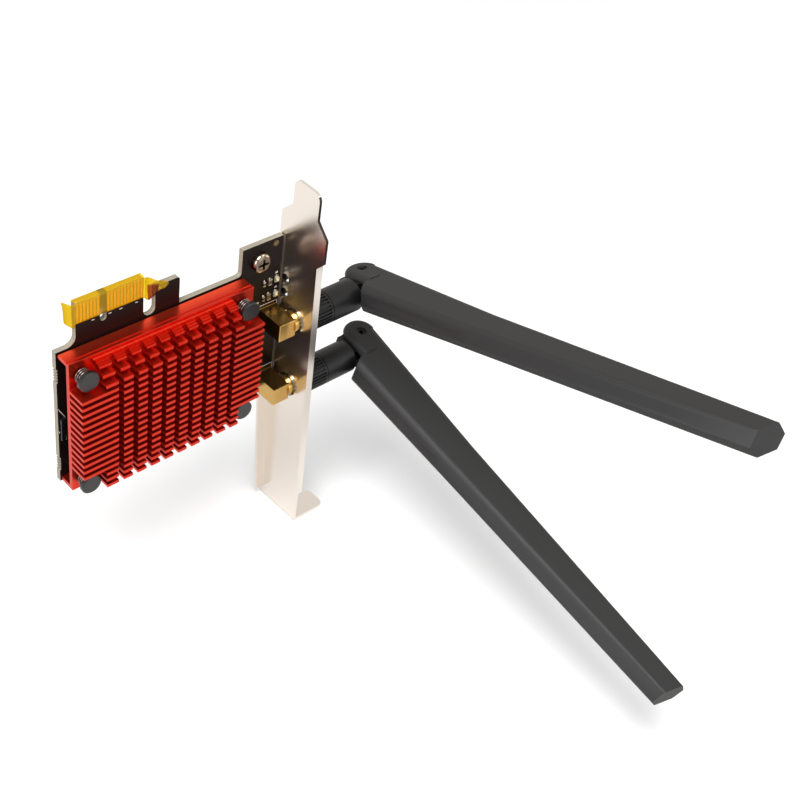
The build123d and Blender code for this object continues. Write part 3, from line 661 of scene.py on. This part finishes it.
# %% Chip ends
chip_rows = (80.9, 86.0)
bm = bmesh.new()
for centre_z in chip_rows:
    for x, z, half_w, half_l, high in (
        (-6.0, centre_z - 0.2, 0.42, 0.72, 0.42),
        (-4.2, centre_z, 0.62, 1.02, 0.62),
    ):
        for side in (-1, 1):
            ends = sorted((z + side * half_l, z + side * (half_l - 0.35)))
            add_box(bm, (x - half_w, -high, ends[0]), (x + half_w, 0.0, ends[1]))
    for side in (-1, 1):
        ends = sorted((centre_z + side * 1.06, centre_z + side * 0.72))
        add_box(bm, (-2.32, -0.38, ends[0]), (-1.08, 0.0, ends[1]))
new_piece("chip_end_caps", bm, tinned, "card")

# %% Solder beads
solder = finish("solder_tin_bright", "#d3d1cc", 0.18, 1.0, 0.05, 0.8, 0.2, 6)[0]
spots = [
    (-6.3, -0.05, 76.9, 0.55),
    (-7.2, -0.05, 76.2, 0.28),
    (-5.9, -0.05, 77.2, 0.25),
    (-4.6, -0.05, 53.4, 0.35),
    (-41.4, -0.03, 99.3, 0.45),
]
jack_heights = (51.29, 75.23)
for jack_z in jack_heights:
    for pin_x in (-6.2, -2.5):
        for side_z in (-2.2, 2.2):
            spots.append((pin_x, 2.1, jack_z - 0.4 + side_z, 0.62))
for centre_z in chip_rows:
    for x, half_l in ((-6.0, 0.75), (-4.2, 1.05), (-1.7, 1.1)):
        spots += [(x, -0.02, centre_z - half_l, 0.24), (x, -0.02, centre_z + half_l, 0.24)]
cloud = bpy.data.meshes.new("solder_spots")
cloud.from_pydata([Vector(spot[:3]) * MM for spot in spots], [], [])
reach = cloud.attributes.new("reach", "FLOAT", "POINT")
for item, spot in zip(reach.data, spots):
    item.value = spot[3] * MM
beads = bpy.data.objects.new("solder_beads", cloud)
bpy.context.scene.collection.objects.link(beads)
group = bpy.data.node_groups.new("bead_on_each_point", "GeometryNodeTree")
group.interface.new_socket("Geometry", in_out="INPUT", socket_type="NodeSocketGeometry")
flat = group.interface.new_socket("Flatness", in_out="INPUT", socket_type="NodeSocketFloat")
finish_socket = group.interface.new_socket("Material", in_out="INPUT", socket_type="NodeSocketMaterial")
group.interface.new_socket("Geometry", in_out="OUTPUT", socket_type="NodeSocketGeometry")
entry = group.nodes.new("NodeGroupInput")
leave = group.nodes.new("NodeGroupOutput")
radius = add(group, "GeometryNodeInputNamedAttribute", {"data_type": "FLOAT", "Name": "reach"})
points = add(group, "GeometryNodeMeshToPoints", i0=entry.outputs["Geometry"])
ball = add(group, "GeometryNodeMeshUVSphere", {"Segments": 14, "Rings": 8, "Radius": 1.0})
stretch = add(group, "ShaderNodeCombineXYZ", {"X": 1.0, "Z": 1.0}, i1=entry.outputs["Flatness"])
enlarge = {"operation": "SCALE"}
scaled = add(group, "ShaderNodeVectorMath", enlarge, i0=stretch.outputs[0], Scale=radius.outputs[0])
copies = {"Points": points.outputs[0], "Instance": ball.outputs[0], "Scale": scaled.outputs[0]}
placed = add(group, "GeometryNodeInstanceOnPoints", **copies)
real = add(group, "GeometryNodeRealizeInstances", i0=placed.outputs[0])
smooth = add(group, "GeometryNodeSetShadeSmooth", i0=real.outputs[0])
coated = add(group, "GeometryNodeSetMaterial", i0=smooth.outputs[0], Material=entry.outputs["Material"])
group.links.new(coated.outputs[0], leave.inputs["Geometry"])
repeat = beads.modifiers.new("beads", "NODES")
repeat.node_group = group
repeat[flat.identifier] = 0.55
repeat[finish_socket.identifier] = solder
made = bpy.data.meshes.new_from_object(beads.evaluated_get(bpy.context.evaluated_depsgraph_get()))
beads.modifiers.clear()
beads.data = made
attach(beads, "card")
print("solder beads:", len(spots), "faces:", len(made.polygons))

# %% [markdown]
# ## Plated ring and light windows
# The small hole in the board's corner has a gold plated ring. Each status light has a drop of yellowish
# phosphor in clear resin on top, and a small smoked lens stands in its hole in the bracket.

# %% Ring and light windows
hole_x, hole_z = -2.8, 98.6
count = 24
bm = bmesh.new()
rings = []
for radius, y in ((0.47, -0.03), (0.95, -0.03), (0.95, 0.0), (0.47, 0.0)):
    ring = []
    for k in range(count):
        angle = 2 * math.pi * k / count
        point = Vector((hole_x + radius * math.cos(angle), y, hole_z + radius * math.sin(angle)))
        ring.append(bm.verts.new(point * MM))
    rings.append(ring)
for a, b in zip(rings, rings[1:] + rings[:1]):
    for k in range(count):
        bm.faces.new((a[k], a[(k + 1) % count], b[(k + 1) % count], b[k]))
dull_gold = finish("gold_plating_dull", "#75653f", 0.5, 1.0, 0.08, 1.0, 0.2, 3)[0]
new_piece("plated_ring", bm, dull_gold, "card")
phosphor = finish("led_phosphor_yellow", "#cfc07a", 0.35, 0.0, 0.12, 0.4, 0.1, 2)[0]
bm = bmesh.new()
for centre_z in chip_rows:
    lamp_place = Matrix.Translation(Vector((-1.7, -0.72, centre_z)) * MM)
    bmesh.ops.create_uvsphere(bm, u_segments=16, v_segments=8, radius=0.42 * MM, matrix=lamp_place)
new_piece("light_windows", bm, phosphor, "card")
smoked = finish("smoked_acrylic", "#0c0b0b", 0.2, 0.0, 0.1, 0.6, 0.2, 2)[0]
lens_radius = 0.95 * MM
disc = {"cap_ends": True, "segments": 32, "radius1": lens_radius, "radius2": lens_radius, "depth": 0.4 * MM}
bm = bmesh.new()
for lit_z in light_hole_heights:
    lens_place = Matrix.Translation(Vector((0.55, -1.42, lit_z - 0.1)) * MM)
    bmesh.ops.create_cone(bm, matrix=lens_place @ Matrix.Rotation(math.pi / 2, 4, "Y"), **disc)
new_piece("light_lenses", bm, smoked, "card")
